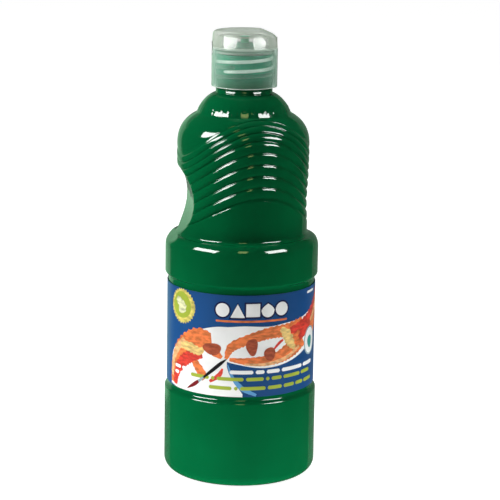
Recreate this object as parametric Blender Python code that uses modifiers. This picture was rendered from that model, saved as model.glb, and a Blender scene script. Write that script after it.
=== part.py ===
"""A 16 fl oz squeeze bottle of tempera paint with a flip-top screw closure.

Metres, +Z up, the middle of the base at the origin. The front of the bottle, where the arched
ribs peak, faces -Y. An angle "from the front" grows from -Y towards +X.
"""
import math

import bmesh
import bpy
from mathutils import Matrix, Vector

MM = 0.001
SEGMENTS = 48

# Bottle body: radii and heights
BODY_R = 34.5 * MM
PANEL_R = 33.1 * MM
WAIST_R = 29.2 * MM
DOME_R = 29.7 * MM
CREASE_R = 20.9 * MM
NECK_R = 12.6 * MM
BORE_R = 10.8 * MM
WALL = 0.8 * MM

FOOT_RADIUS = 5.0 * MM
PUSH_UP = 4.5 * MM
PANEL_FOOT_Z = 41.6 * MM
PANEL_TOP_Z = 89.7 * MM
RUB_RING_TOP_Z = 104.4 * MM
WAIST_Z = 111.6 * MM
DOME_Z = 150.0 * MM
CREASE_Z = 164.6 * MM
NECK_Z = 173.4 * MM
MOUTH_Z = 190.8 * MM
SHOULDER_STEP = 3.3 * MM

# Grooves between the arched ribs, as distances up the waist from the lowest one
LOWEST_GROOVE_Z = 130.4 * MM
WIDE_PITCH = 5.1 * MM
WIDE_RIBS = 5
NARROW_PITCH = 3.6 * MM
NARROW_RIBS = 3
RIB_DEPTH = 0.55 * MM
ARCH_DROP = 16.0 * MM
TOP_ARCH_DROP = 20.5 * MM

# Grip scoops: each the side of a level cylinder across the waist
SCOOP_R = 22.9 * MM
SCOOP_AXIS_OUT = 46.5 * MM
SCOOP_Z = 125.8 * MM
SCOOP_ANGLES = (math.radians(100), math.radians(-100))
SCOOP_REACH = math.radians(60)

# Paint and label
PAINT_GAP = 0.3 * MM
PAINT_LEVEL_Z = 174.0 * MM
LABEL_FOOT_Z = 42.3 * MM
LABEL_TOP_Z = 88.4 * MM
LABEL_GAP = 0.25 * MM
LABEL_THICK = 0.2 * MM
LAP_STEPS = 2
LAP_RISE = 0.35 * MM

# Neck thread and the thread in the cap
PITCH = 25.4 * MM / 6
THREAD_START = math.radians(-66)
THREAD_START_Z = 183.4 * MM
THREAD_TURNS = 1.4
THREAD_CREST_R = 13.45 * MM
CAP_THREAD_START = math.radians(-124)
CAP_THREAD_TURNS = 1.25
CAP_CREST_R = 13.0 * MM
RIDGE_ROOT = 0.8 * MM
RIDGE_TIP = 0.5 * MM
RIDGE_SINK = 0.3 * MM
RUN_OUT = math.radians(30)

# Closure
CAP_R = 14.65 * MM
CAP_BORE_R = 13.85 * MM
SEAL_R = 13.2 * MM
CAP_FOOT_Z = 176.2 * MM
SEAM_Z = 193.3 * MM
SEAM_GAP = 0.25 * MM
DECK_UNDER_Z = 192.0 * MM
LINER_R = 12.9 * MM
LINER_HOLE_R = 4.5 * MM
LINER_Z = (191.05 * MM, 191.75 * MM)
ORIFICE_R = 2.15 * MM
SPOUT_R = 3.6 * MM
SPOUT_TOP_Z = 195.6 * MM
LID_TOP_Z = 200.9 * MM
LID_TOP_R = 14.3 * MM
LID_BORE_R = 12.6 * MM
LID_CEILING_Z = 197.2 * MM
LID_EDGE = 1.8 * MM
PIN_R = 1.8 * MM
PIN_TIP_Z = 194.2 * MM
CAP_FACING = math.radians(-17)

# Living hinge at the closure's own -X side, thumb facet at its +X side
HINGE_OUT = 14.5 * MM
HINGE_FLAT = 14.1 * MM
HINGE_POCKET_Z = (190.4 * MM, 196.4 * MM)
STRAP_THICK = 0.3 * MM
STRAP_Z = (191.1 * MM, 195.7 * MM)
STRAP_WIDTH = 1.5 * MM
STRAP_OFFSETS = {"hinge_strap_front": -2.5 * MM, "hinge_spring": 0.0, "hinge_strap_rear": 2.5 * MM}
FACET_START = 6.8 * MM
FACET_SLOPE = math.radians(16)


# Curves of (radius, height)

def arc(centre_r, centre_z, radius_r, radius_z, start, end, steps):
    """Points on an ellipse's arc, angles in degrees from the +radius direction."""
    points = []
    for i in range(steps + 1):
        angle = math.radians(start + (end - start) * i / steps)
        points.append((centre_r + radius_r * math.cos(angle), centre_z + radius_z * math.sin(angle)))
    return points


def bezier(p0, p1, p2, p3, steps):
    points = []
    for i in range(steps + 1):
        t = i / steps
        a, b, c, d = (1 - t) ** 3, 3 * t * (1 - t) ** 2, 3 * t * t * (1 - t), t ** 3
        points.append(tuple(a * p0[k] + b * p1[k] + c * p2[k] + d * p3[k] for k in (0, 1)))
    return points


def big_dome(inset, steps):
    """From the top of the straight waist in to the crease under the small dome."""
    return bezier((DOME_R - inset, DOME_Z), (DOME_R - inset, DOME_Z + 7 * MM),
                  (DOME_R - inset - 2.7 * MM, CREASE_Z - inset - 3.1 * MM), (CREASE_R - inset, CREASE_Z - inset),
                  steps)


def small_dome(inset, steps):
    """From the crease in to the foot of the neck."""
    return bezier((CREASE_R - inset, CREASE_Z), (CREASE_R - inset - 1.3 * MM, CREASE_Z + 2.9 * MM),
                  (CREASE_R - inset - 3.9 * MM, NECK_Z - inset - 1.4 * MM), (NECK_R, NECK_Z - inset), steps)


# The waist's outline and its arched rows

WAIST_CURVE = [(WAIST_R, WAIST_Z), (WAIST_R, SCOOP_Z)] + big_dome(0, 24)


def along_waist(distance):
    """(radius, height) at a distance up the waist's outline from the lowest groove's height."""
    left = distance + LOWEST_GROOVE_Z - WAIST_Z
    for (r0, z0), (r1, z1) in zip(WAIST_CURVE, WAIST_CURVE[1:]):
        span = math.hypot(r1 - r0, z1 - z0)
        if left <= span:
            return r0 + (r1 - r0) * left / span, z0 + (z1 - z0) * left / span
        left -= span
    return WAIST_CURVE[-1]


def crease_distance():
    """How far the crease under the small dome lies up the waist's outline."""
    spans = zip(WAIST_CURVE, WAIST_CURVE[1:])
    return sum(math.hypot(r1 - r0, z1 - z0) for (r0, z0), (r1, z1) in spans) + WAIST_Z - LOWEST_GROOVE_Z


def groove_distances():
    wide = [i * WIDE_PITCH for i in range(WIDE_RIBS + 1)]
    narrow = [wide[-1] + (i + 1) * NARROW_PITCH for i in range(NARROW_RIBS)]
    return wide + narrow


def arch_drop(distance):
    """How far a row of the waist sinks at the bottle's sides."""
    foot = WAIST_Z - LOWEST_GROOVE_Z
    if distance < 0:
        return ARCH_DROP * (1 - distance / foot)
    top = groove_distances()[-1]
    if distance > top:
        return TOP_ARCH_DROP * (crease_distance() - distance) / (crease_distance() - top)
    return ARCH_DROP + (TOP_ARCH_DROP - ARCH_DROP) * distance / top


def scoop_limit(radius, height, angle, inset):
    """The radius after the grip scoops have been pressed in."""
    rise = height - SCOOP_Z
    reach = SCOOP_R + inset
    if abs(rise) >= reach:
        return radius
    floor = SCOOP_AXIS_OUT - math.sqrt(reach * reach - rise * rise)
    for scoop in SCOOP_ANGLES:
        turn = (angle - scoop + math.pi) % (2 * math.pi) - math.pi
        if abs(turn) < SCOOP_REACH:
            radius = min(radius, floor / math.cos(turn))
    return radius


def ring(radius, height, inset=0.0):
    """One level row of points, pressed in at the grips."""
    row = []
    for i in range(SEGMENTS):
        angle = 2 * math.pi * i / SEGMENTS
        r = scoop_limit(radius, height, angle, inset)
        row.append((r * math.sin(angle), -r * math.cos(angle), height))
    return row


def arched_ring(distance, depth):
    """One row of points that arches over the front and the back and sinks at the sides."""
    row = []
    for i in range(SEGMENTS):
        angle = 2 * math.pi * i / SEGMENTS
        radius, height = along_waist(distance - arch_drop(distance) * math.sin(angle) ** 2)
        r = scoop_limit(radius - depth, height, angle, 0.0)
        row.append((r * math.sin(angle), -r * math.cos(angle), height))
    return row


# Meshes and objects

def new_object(name, mesh, collection, material=None):
    obj = bpy.data.objects.new(name, mesh)
    collection.objects.link(obj)
    if material:
        mesh.materials.append(material)
    return obj


def skin(name, rows):
    """A closed solid through rows of points, with a fan or a face over each end row."""
    bm = bmesh.new()
    rings = [[bm.verts.new(point) for point in row] for row in rows]
    for low, high in zip(rings, rings[1:]):
        count = max(len(low), len(high))
        for i in range(count):
            j = (i + 1) % count
            if len(low) == 1:
                bm.faces.new((low[0], high[j], high[i]))
            elif len(high) == 1:
                bm.faces.new((low[i], low[j], high[0]))
            else:
                bm.faces.new((low[i], low[j], high[j]))
                bm.faces.new((low[i], high[j], high[i]))
    for end in (rings[0], rings[-1]):
        if len(end) > 1:
            bm.faces.new(end)
    bmesh.ops.recalc_face_normals(bm, faces=bm.faces)
    mesh = bpy.data.meshes.new(name)
    bm.to_mesh(mesh)
    bm.free()
    return mesh


def turned(name, profile, collection, material, closed):
    """A profile of (radius, height) that runs down its outer side, turned about Z."""
    mesh = bpy.data.meshes.new(name)
    count = len(profile)
    edges = [(i, i + 1) for i in range(count - 1)]
    if closed:
        edges.append((count - 1, 0))
    mesh.from_pydata([(r, 0.0, z) for r, z in profile], edges, [])
    obj = new_object(name, mesh, collection, material)
    screw = obj.modifiers.new("turn", "SCREW")
    screw.angle = 2 * math.pi
    screw.steps = SEGMENTS
    screw.render_steps = SEGMENTS
    screw.use_merge_vertices = True
    screw.merge_threshold = 0.00001
    return obj


def boolean(obj, tool, operation):
    modifier = obj.modifiers.new(tool.name, "BOOLEAN")
    modifier.operation = operation
    modifier.solver = "EXACT"
    modifier.object = tool


def box_mesh(name, low, high):
    bm = bmesh.new()
    bmesh.ops.create_cube(bm, size=1.0)
    size = Vector(high) - Vector(low)
    middle = (Vector(high) + Vector(low)) / 2
    bmesh.ops.transform(bm, matrix=Matrix.Translation(middle) @ Matrix.Diagonal((*size, 1.0)), verts=bm.verts)
    mesh = bpy.data.meshes.new(name)
    bm.to_mesh(mesh)
    bm.free()
    return mesh


def thread_mesh(name, start, start_z, turns, root_r, crest_r):
    """A helical ridge on the wall at root_r, its crest at crest_r, running out at both ends."""
    outward = 1 if crest_r > root_r else -1
    sweep = turns * 2 * math.pi
    steps = round(turns * SEGMENTS)
    rows = []
    for i in range(steps + 1):
        turn = sweep * i / steps
        fade = min(1.0, turn / RUN_OUT, (sweep - turn) / RUN_OUT)
        crest = root_r + (crest_r - root_r) * fade - outward * 0.15 * MM * (1 - fade)
        sunk = root_r - outward * RIDGE_SINK
        height = start_z + PITCH * turn / (2 * math.pi)
        x, y = math.sin(start + turn), -math.cos(start + turn)
        section = ((sunk, -RIDGE_ROOT), (crest, -RIDGE_TIP), (crest, RIDGE_TIP), (sunk, RIDGE_ROOT))
        rows.append([(r * x, r * y, height + dz) for r, dz in section])
    return skin(name, rows)


def material(name, colour, roughness, alpha=1.0):
    mat = bpy.data.materials.new(name)
    mat.use_nodes = True
    shader = mat.node_tree.nodes["Principled BSDF"]
    shader.inputs["Base Color"].default_value = (*colour, 1.0)
    shader.inputs["Roughness"].default_value = roughness
    shader.inputs["Metallic"].default_value = 0.0
    shader.inputs["Alpha"].default_value = alpha
    return mat


# Pieces

def foot_curve(inset):
    """From the middle of the pushed-up base out to the foot's rounded corner and the body's wall."""
    ring_r = BODY_R - FOOT_RADIUS
    return [(14 * MM, PUSH_UP - 0.7 * MM + inset), (23 * MM, PUSH_UP / 2 + inset), (ring_r - 2 * MM, inset)] \
        + arc(ring_r, FOOT_RADIUS, FOOT_RADIUS - inset, FOOT_RADIUS - inset, -90, 0, 4)


def body_curve(inset):
    """The lower body, the label panel and the rub ring over it, up to the foot of the waist."""
    step = BODY_R - PANEL_R
    return [(BODY_R - inset, PANEL_FOOT_Z - SHOULDER_STEP)] \
        + arc(PANEL_R - inset, PANEL_FOOT_Z - SHOULDER_STEP, step, SHOULDER_STEP, 45, 90, 1) \
        + [(PANEL_R - inset, PANEL_TOP_Z)] \
        + arc(PANEL_R - inset, PANEL_TOP_Z + SHOULDER_STEP, step, SHOULDER_STEP, -45, 0, 1) \
        + arc(WAIST_R + 1.2 * MM - inset, RUB_RING_TOP_Z, BODY_R - WAIST_R - 1.2 * MM,
              WAIST_Z - RUB_RING_TOP_Z - 1.2 * MM, 0, 90, 4)


def bottle_rows():
    rows = [[(0.0, 0.0, PUSH_UP)]]
    rows += [ring(r, z) for r, z in foot_curve(0.0) + body_curve(0.0)]
    foot = WAIST_Z - LOWEST_GROOVE_Z
    rows += [arched_ring(foot * share, 0.0) for share in (1.0, 0.7, 0.4, 0.12)]
    grooves = groove_distances()
    for low, high in zip(grooves, grooves[1:] + [grooves[-1] + NARROW_PITCH]):
        depth = RIB_DEPTH if high - low > NARROW_PITCH * 1.01 else 0.6 * RIB_DEPTH
        rows.append(arched_ring(low, depth))
        rows.append(arched_ring(low + 0.33 * (high - low), 0.1 * depth))
        rows.append(arched_ring(low + 0.67 * (high - low), 0.1 * depth))
    rows = rows[:-2]
    room = crease_distance() - grooves[-1]
    rows += [arched_ring(grooves[-1] + share * room, 0.0) for share in (0.33, 0.67)]
    rows += [ring(r, z) for r, z in small_dome(0.0, 5)]
    rows += [ring(NECK_R, MOUTH_Z - 0.3 * MM), ring(NECK_R - 0.3 * MM, MOUTH_Z), ring(BORE_R, MOUTH_Z)]
    rows += [ring(r, z, WALL) for r, z in reversed(inner_curve(WALL, NECK_Z + 2 * MM))]
    rows.append([(0.0, 0.0, PUSH_UP + WALL)])
    return rows


def inner_curve(inset, top_z):
    """The inside of the bottle's wall, clear of the ribs' grooves, from the base up the bore to top_z."""
    clear = inset + RIB_DEPTH
    bore = BORE_R - (inset - WALL)
    waist = [(BODY_R - inset - 0.6 * MM, RUB_RING_TOP_Z + 1.5 * MM), (WAIST_R - clear, WAIST_Z - 0.5 * MM)] \
        + [(WAIST_R - clear, WAIST_Z + share * (DOME_Z - WAIST_Z)) for share in (0.15, 0.3, 0.45, 0.6)]
    domes = big_dome(clear, 4)[:-1] + small_dome(clear, 4)[1:-1]
    return foot_curve(inset) + body_curve(inset)[:-4] + waist + domes + [(bore, NECK_Z), (bore, top_z)]


def build_bottle(parts, tools):
    pet = material("clear_pet_over_green", (0.0, 0.13, 0.05), 0.08)
    bottle = new_object("bottle", skin("bottle", bottle_rows()), parts, pet)
    thread = thread_mesh("neck_thread", THREAD_START, THREAD_START_Z, THREAD_TURNS, NECK_R, THREAD_CREST_R)
    boolean(bottle, new_object("neck_thread", thread, tools), "UNION")


def build_paint(parts):
    paint = material("green_tempera", (0.0, 0.12, 0.045), 0.4)
    inset = WALL + PAINT_GAP
    rows = [ring(r, z, inset) for r, z in reversed(inner_curve(inset, PAINT_LEVEL_Z))]
    rows.append([(0.0, 0.0, PUSH_UP + inset)])
    new_object("paint_fill", skin("paint_fill", rows), parts, paint)


def build_label(parts):
    """A strip wound once round the panel, its last end lapped over its first at the back."""
    printed = material("printed_label", (0.02, 0.08, 0.33), 0.35)
    inner = PANEL_R + LABEL_GAP
    rows = []
    for i in range(SEGMENTS + LAP_STEPS + 1):
        angle = math.pi + 2 * math.pi * i / SEGMENTS
        rise = LAP_RISE * min(1.0, max(0.0, i - SEGMENTS + 2) / 2)
        x, y = math.sin(angle), -math.cos(angle)
        section = ((inner + rise, LABEL_FOOT_Z), (inner + rise + LABEL_THICK, LABEL_FOOT_Z),
                   (inner + rise + LABEL_THICK, LABEL_TOP_Z), (inner + rise, LABEL_TOP_Z))
        rows.append([(r * x, r * y, z) for r, z in section])
    new_object("label", skin("label", rows), parts, printed)


def build_liner(parts):
    foam = material("liner_foam", (0.85, 0.85, 0.82), 0.8)
    low, high = LINER_Z
    profile = [(LINER_R, high), (LINER_R, low), (LINER_HOLE_R, low), (LINER_HOLE_R, high)]
    turned("cap_liner", profile, parts, foam, closed=True)


def build_cap_base(parts, tools, plastic):
    bead = 0.2 * MM
    profile = [(CAP_R - bead, SEAM_Z), (CAP_R, SEAM_Z - bead), (CAP_R, CAP_FOOT_Z + bead), (CAP_R - bead, CAP_FOOT_Z),
               (CAP_BORE_R, CAP_FOOT_Z), (CAP_BORE_R, HINGE_POCKET_Z[0] - 0.5 * MM), (SEAL_R, HINGE_POCKET_Z[0]),
               (SEAL_R, DECK_UNDER_Z), (ORIFICE_R, DECK_UNDER_Z), (ORIFICE_R, SPOUT_TOP_Z),
               (SPOUT_R - bead, SPOUT_TOP_Z), (SPOUT_R, SPOUT_TOP_Z - bead), (SPOUT_R + 0.2 * MM, SEAM_Z + 0.6 * MM),
               (SPOUT_R + 0.8 * MM, SEAM_Z)]
    base = turned("cap_base", profile, parts, plastic, closed=True)
    base.rotation_euler.z = CAP_FACING
    start_z = THREAD_START_Z + PITCH * (CAP_THREAD_START - THREAD_START) / (2 * math.pi) - PITCH / 2
    ridge = thread_mesh("cap_thread", CAP_THREAD_START, start_z, CAP_THREAD_TURNS, CAP_BORE_R, CAP_CREST_R)
    boolean(base, new_object("cap_thread", ridge, tools), "UNION")
    return base


def build_cap_lid(parts, tools, plastic):
    rim_z = SEAM_Z + SEAM_GAP
    edge = arc(LID_TOP_R - LID_EDGE, LID_TOP_Z - LID_EDGE, LID_EDGE, LID_EDGE, 90, 0, 3)
    profile = [(0.0, LID_TOP_Z)] + edge \
        + [(CAP_R - 0.15 * MM, rim_z), (LID_BORE_R + 0.8 * MM, rim_z), (LID_BORE_R, LID_CEILING_Z),
           (PIN_R + 0.8 * MM, LID_CEILING_Z), (PIN_R, LID_CEILING_Z - 0.8 * MM),
           (PIN_R, PIN_TIP_Z + 0.4 * MM), (PIN_R - 0.5 * MM, PIN_TIP_Z), (0.0, PIN_TIP_Z)]
    lid = turned("cap_lid", profile, parts, plastic, closed=False)
    lid.rotation_euler.z = CAP_FACING
    facet = new_object("thumb_facet", box_mesh("thumb_facet", (0, -CAP_R * 1.2, 0), (CAP_R, CAP_R * 1.2, CAP_R)),
                       tools)
    start = Matrix.Translation((FACET_START, 0, LID_TOP_Z))
    facet.matrix_world = Matrix.Rotation(CAP_FACING, 4, "Z") @ start @ Matrix.Rotation(FACET_SLOPE, 4, "Y")
    boolean(lid, facet, "DIFFERENCE")
    return lid


def build_hinge(parts, tools, plastic, base, lid):
    """A flat pocket across the closure's back, and the thin straps that lie in it over the seam."""
    low, high = HINGE_POCKET_Z
    pocket = new_object("hinge_pocket", box_mesh("hinge_pocket", (-CAP_R * 1.2, -CAP_R, low),
                                                 (-HINGE_FLAT, CAP_R, high)), tools)
    pocket.rotation_euler.z = CAP_FACING
    for piece in (base, lid):
        boolean(piece, pocket, "DIFFERENCE")
    for name, offset in STRAP_OFFSETS.items():
        strap = box_mesh(name, (-HINGE_OUT - STRAP_THICK / 2, offset - STRAP_WIDTH / 2, STRAP_Z[0]),
                         (-HINGE_OUT + STRAP_THICK / 2, offset + STRAP_WIDTH / 2, STRAP_Z[1]))
        new_object(name, strap, parts, plastic).rotation_euler.z = CAP_FACING


def hang_on_hinge(lid, parts):
    """The lid turns about an empty on the straps' line at the seam."""
    pin = bpy.data.objects.new("lid_hinge", None)
    parts.objects.link(pin)
    pin.location = Matrix.Rotation(CAP_FACING, 4, "Z") @ Vector((-HINGE_OUT, 0, SEAM_Z + SEAM_GAP / 2))
    lid.parent = pin
    lid.matrix_parent_inverse = Matrix.Translation(pin.location).inverted()


def new_collection(name):
    collection = bpy.data.collections.new(name)
    bpy.context.scene.collection.children.link(collection)
    return collection


def main():
    for obj in list(bpy.data.objects):
        bpy.data.objects.remove(obj, do_unlink=True)
    parts = new_collection("paint_bottle")
    tools = new_collection("cutters")
    tools.hide_render = True
    build_bottle(parts, tools)
    build_paint(parts)
    build_label(parts)
    build_liner(parts)
    plastic = material("natural_polypropylene", (0.72, 0.76, 0.73), 0.3, alpha=0.6)
    base = build_cap_base(parts, tools, plastic)
    lid = build_cap_lid(parts, tools, plastic)
    build_hinge(parts, tools, plastic, base, lid)
    hang_on_hinge(lid, parts)
    for tool in tools.objects:
        tool.display_type = "WIRE"
        tool.hide_render = True


main()
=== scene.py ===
"""The looks of a squeeze bottle of green tempera paint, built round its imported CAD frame.

Metres, +Z up, the front of the bottle facing -Y. An angle "from the front" grows from -Y
towards +X, and a place on the label is given as millimetres round it and up it.
"""
import math

import bmesh
import bpy
import numpy as np
from mathutils import Matrix, Vector


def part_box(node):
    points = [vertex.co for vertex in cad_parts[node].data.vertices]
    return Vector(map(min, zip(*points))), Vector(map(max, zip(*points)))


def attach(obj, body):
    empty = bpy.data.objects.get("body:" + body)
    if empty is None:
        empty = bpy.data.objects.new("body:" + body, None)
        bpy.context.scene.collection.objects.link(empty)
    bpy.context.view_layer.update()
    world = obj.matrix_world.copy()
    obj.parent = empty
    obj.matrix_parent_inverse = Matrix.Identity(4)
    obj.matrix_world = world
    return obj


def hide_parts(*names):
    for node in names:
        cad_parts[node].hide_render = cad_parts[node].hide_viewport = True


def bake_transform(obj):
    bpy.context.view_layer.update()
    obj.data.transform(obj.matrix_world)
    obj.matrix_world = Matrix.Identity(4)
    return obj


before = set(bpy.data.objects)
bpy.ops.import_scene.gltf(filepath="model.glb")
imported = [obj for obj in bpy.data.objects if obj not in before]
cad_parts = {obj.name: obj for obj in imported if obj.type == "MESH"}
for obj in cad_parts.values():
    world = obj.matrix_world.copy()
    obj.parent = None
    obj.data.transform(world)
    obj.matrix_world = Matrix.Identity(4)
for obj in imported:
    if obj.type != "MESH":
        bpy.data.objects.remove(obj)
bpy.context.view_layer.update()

MM = 0.001
TURN = 2 * math.pi
COLUMNS = 288

# The bottle's outline, as the CAD has it
BODY_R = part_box("bottle")[1][0]
PANEL_R = 33.1 * MM
WAIST_R = 29.2 * MM
DOME_R = 29.7 * MM
CREASE_R = 20.9 * MM
NECK_R = 12.6 * MM
BORE_R = 10.8 * MM
WALL = 0.8 * MM
FOOT_RADIUS = 5.0 * MM
PUSH_UP = 4.5 * MM
PANEL_FOOT_Z = 41.6 * MM
PANEL_TOP_Z = 89.7 * MM
STEP_HEIGHT = 3.3 * MM
STEP_EDGE = 2.9 * MM
LOWER_STEP_GAP = 0.7 * MM
UPPER_STEP_GAP = 0.9 * MM
RUB_RING_TOP_Z = 104.4 * MM
WAIST_Z = 111.6 * MM
DOME_Z = 150.0 * MM
CREASE_Z = 164.6 * MM
NECK_Z = 173.4 * MM
MOUTH_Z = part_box("bottle")[1][2]
PAINT_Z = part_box("paint_fill")[1][2]

# Arched ribs and grip scoops
LOWEST_GROOVE_Z = 130.4 * MM
WIDE_PITCH = 5.1 * MM
WIDE_RIBS = 5
NARROW_PITCH = 3.6 * MM
NARROW_RIBS = 3
RIB_DEPTH = 0.85 * MM
ARCH_DROP = 16.0 * MM
TOP_ARCH_DROP = 20.5 * MM
SCOOP_R = 22.9 * MM
SCOOP_AXIS_OUT = 46.5 * MM
SCOOP_Z = 125.8 * MM
SCOOP_ANGLES = (math.radians(100), math.radians(-100))
SCOOP_EDGE = 0.5 * MM

# Neck thread
PITCH = 25.4 * MM / 6
THREAD_START = math.radians(-66)
THREAD_START_Z = 183.4 * MM
THREAD_TURNS = 1.4
THREAD_CREST_R = 13.45 * MM
CAP_THREAD_START = math.radians(-124)
CAP_THREAD_TURNS = 1.25
CAP_CREST_R = 13.0 * MM

# Closure
CAP_FACING = math.radians(-17)
CAP_FOOT_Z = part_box("cap_base")[0][2]
NECK_SPLIT_Z = CAP_FOOT_Z + 0.4 * MM
CAP_R = 14.65 * MM
CAP_BORE_R = 13.85 * MM
SEAL_R = 13.2 * MM
SEAM_Z = 193.3 * MM
DECK_UNDER_Z = 192.0 * MM
LID_FOOT_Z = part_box("cap_lid")[0][2]
LID_TOP_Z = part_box("cap_lid")[1][2]
LID_TOP_R = 14.3 * MM
ORIFICE_R = 2.15 * MM
SPOUT_R = 3.6 * MM
SPOUT_TOP_Z = 195.6 * MM
LID_BORE_R = 12.6 * MM
LID_CEILING_Z = 198.4 * MM
PIN_R = 1.8 * MM
PIN_TIP_Z = 194.2 * MM
HINGE_OUT = 14.5 * MM
HINGE_FLAT = 14.1 * MM
POCKET_HALF_WIDTH = 6.5 * MM
POCKET_FOOT_Z = 190.4 * MM
POCKET_TOP_Z = 196.4 * MM
STRAPS = {"hinge_strap_front": -2.5 * MM, "hinge_spring": 0.0, "hinge_strap_rear": 2.5 * MM}
FACET_START = 6.8 * MM
FACET_SLOPE = math.radians(16)

PAINT_GREEN = (0.0, 0.118, 0.0355)
SMEAR_HEIGHT = 6 * MM
SKY = 0.035
FLOOR_LIFT = 0.97
LIT_Z = 120.0 * MM

# Camera, as the photograph was taken
CAMERA_TURN = math.radians(-17)
CAMERA_RISE = math.radians(12.4)
CAMERA_ROLL = math.radians(0.9)
CAMERA_DISTANCE = 0.878
CAMERA_LENS = 139.8
AIM_Z = 101.6 * MM
AIM_RIGHT = 3.7 * MM


# Curves of (radius, height)

def arc(centre_r, centre_z, radius_r, radius_z, start, end, steps):
    """Points on an ellipse's arc, angles in degrees from the +radius direction."""
    angles = np.radians(np.linspace(start, end, steps + 1))
    return [(centre_r + radius_r * math.cos(a), centre_z + radius_z * math.sin(a)) for a in angles]


def bezier(p0, p1, p2, p3, steps):
    points = []
    for t in np.linspace(0.0, 1.0, steps + 1):
        shares = ((1 - t) ** 3, 3 * t * (1 - t) ** 2, 3 * t * t * (1 - t), t ** 3)
        points.append(tuple(sum(s * p[k] for s, p in zip(shares, (p0, p1, p2, p3))) for k in (0, 1)))
    return points


def straight(r0, z0, r1, z1, steps):
    return [(r0 + (r1 - r0) * t, z0 + (z1 - z0) * t) for t in np.linspace(0.0, 1.0, steps + 1)]


def easing(r0, z0, r1, z1, steps):
    """A smooth step of the wall from one radius to another."""
    return [(r0 + (r1 - r0) * t * t * (3 - 2 * t), z0 + (z1 - z0) * t)
            for t in np.linspace(0.0, 1.0, steps + 1)]


def big_dome(steps):
    return bezier((DOME_R, DOME_Z), (DOME_R, DOME_Z + 7 * MM), (DOME_R - 2.7 * MM, CREASE_Z - 3.1 * MM),
                  (CREASE_R, CREASE_Z), steps)


def small_dome(steps):
    return bezier((CREASE_R, CREASE_Z), (CREASE_R - 0.8 * MM, CREASE_Z + 2.9 * MM),
                  (CREASE_R - 3.9 * MM, NECK_Z - 1.4 * MM), (NECK_R + 0.4 * MM, NECK_Z), steps)


class Waist:
    """The outline from the rub ring's top to the crease, measured up from the lowest groove's height."""

    def __init__(self):
        outline = [(WAIST_R, WAIST_Z), (WAIST_R, SCOOP_Z)] + big_dome(60)
        self.points = np.array(outline)
        spans = np.hypot(*np.diff(self.points, axis=0).T)
        self.distances = np.concatenate([[0.0], np.cumsum(spans)]) + WAIST_Z - LOWEST_GROOVE_Z
        self.foot = self.distances[0]
        self.crease = self.distances[-1]
        wide = [i * WIDE_PITCH for i in range(WIDE_RIBS + 1)]
        self.grooves = wide + [wide[-1] + (i + 1) * NARROW_PITCH for i in range(NARROW_RIBS)]

    def at(self, distance):
        return (np.interp(distance, self.distances, self.points[:, 0]),
                np.interp(distance, self.distances, self.points[:, 1]))

    def drop(self, distance):
        """How far a row sinks at the bottle's sides."""
        top = self.grooves[-1]
        if distance < 0:
            return ARCH_DROP * (1 - distance / self.foot)
        if distance > top:
            return TOP_ARCH_DROP * (self.crease - distance) / (self.crease - top)
        return ARCH_DROP + (TOP_ARCH_DROP - ARCH_DROP) * distance / top


# Meshes

def closed_skin(rows, first=None, last=None):
    """A list of points and faces through rows of equal length, with a pole or a flat face at each end."""
    count = len(rows[0])
    points = [tuple(p) for row in rows for p in row]
    faces = []
    for k in range(len(rows) - 1):
        low, high = k * count, (k + 1) * count
        for i in range(count):
            j = (i + 1) % count
            faces.append((low + i, low + j, high + j, high + i))
    for pole, start, flip in ((first, 0, True), (last, (len(rows) - 1) * count, False)):
        ring = [start + i for i in range(count)]
        if pole is None:
            faces.append(tuple(reversed(ring)) if flip else tuple(ring))
            continue
        tip = len(points)
        points.append(pole)
        for i in range(count):
            a, b = ring[i], ring[(i + 1) % count]
            faces.append((b, a, tip) if flip else (a, b, tip))
    return points, faces


def looped_skin(rows):
    """A closed skin through rows whose last row meets the first again."""
    count = len(rows[0])
    points = [tuple(p) for row in rows for p in row]
    faces = []
    for k in range(len(rows)):
        low, high = k * count, (k + 1) % len(rows) * count
        faces += [(low + i, low + (i + 1) % count, high + (i + 1) % count, high + i) for i in range(count)]
    return points, faces


def piece(name, points, faces, material, body, smooth=True):
    """An object of one material that rides on one body of the frame."""
    mesh = bpy.data.meshes.new(name)
    mesh.from_pydata(points, [], faces)
    bm = bmesh.new()
    bm.from_mesh(mesh)
    bmesh.ops.recalc_face_normals(bm, faces=bm.faces)
    bm.to_mesh(mesh)
    bm.free()
    mesh.materials.append(material)
    mesh.polygons.foreach_set("use_smooth", [smooth] * len(mesh.polygons))
    obj = bpy.data.objects.new(name, mesh)
    bpy.context.scene.collection.objects.link(obj)
    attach(obj, body)
    return obj


def merged(*parts):
    """Several skins as one list of points and one of faces."""
    points, faces = [], []
    for some_points, some_faces in parts:
        shift = len(points)
        points += some_points
        faces += [tuple(i + shift for i in face) for face in some_faces]
    return points, faces


ANGLES = np.arange(COLUMNS) * TURN / COLUMNS


def place(radius, height):
    """A row of points round the bottle, counted from the front."""
    radius = np.broadcast_to(radius, ANGLES.shape)
    height = np.broadcast_to(height, ANGLES.shape)
    return np.stack([radius * np.sin(ANGLES), -radius * np.cos(ANGLES), height], axis=1)


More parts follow.
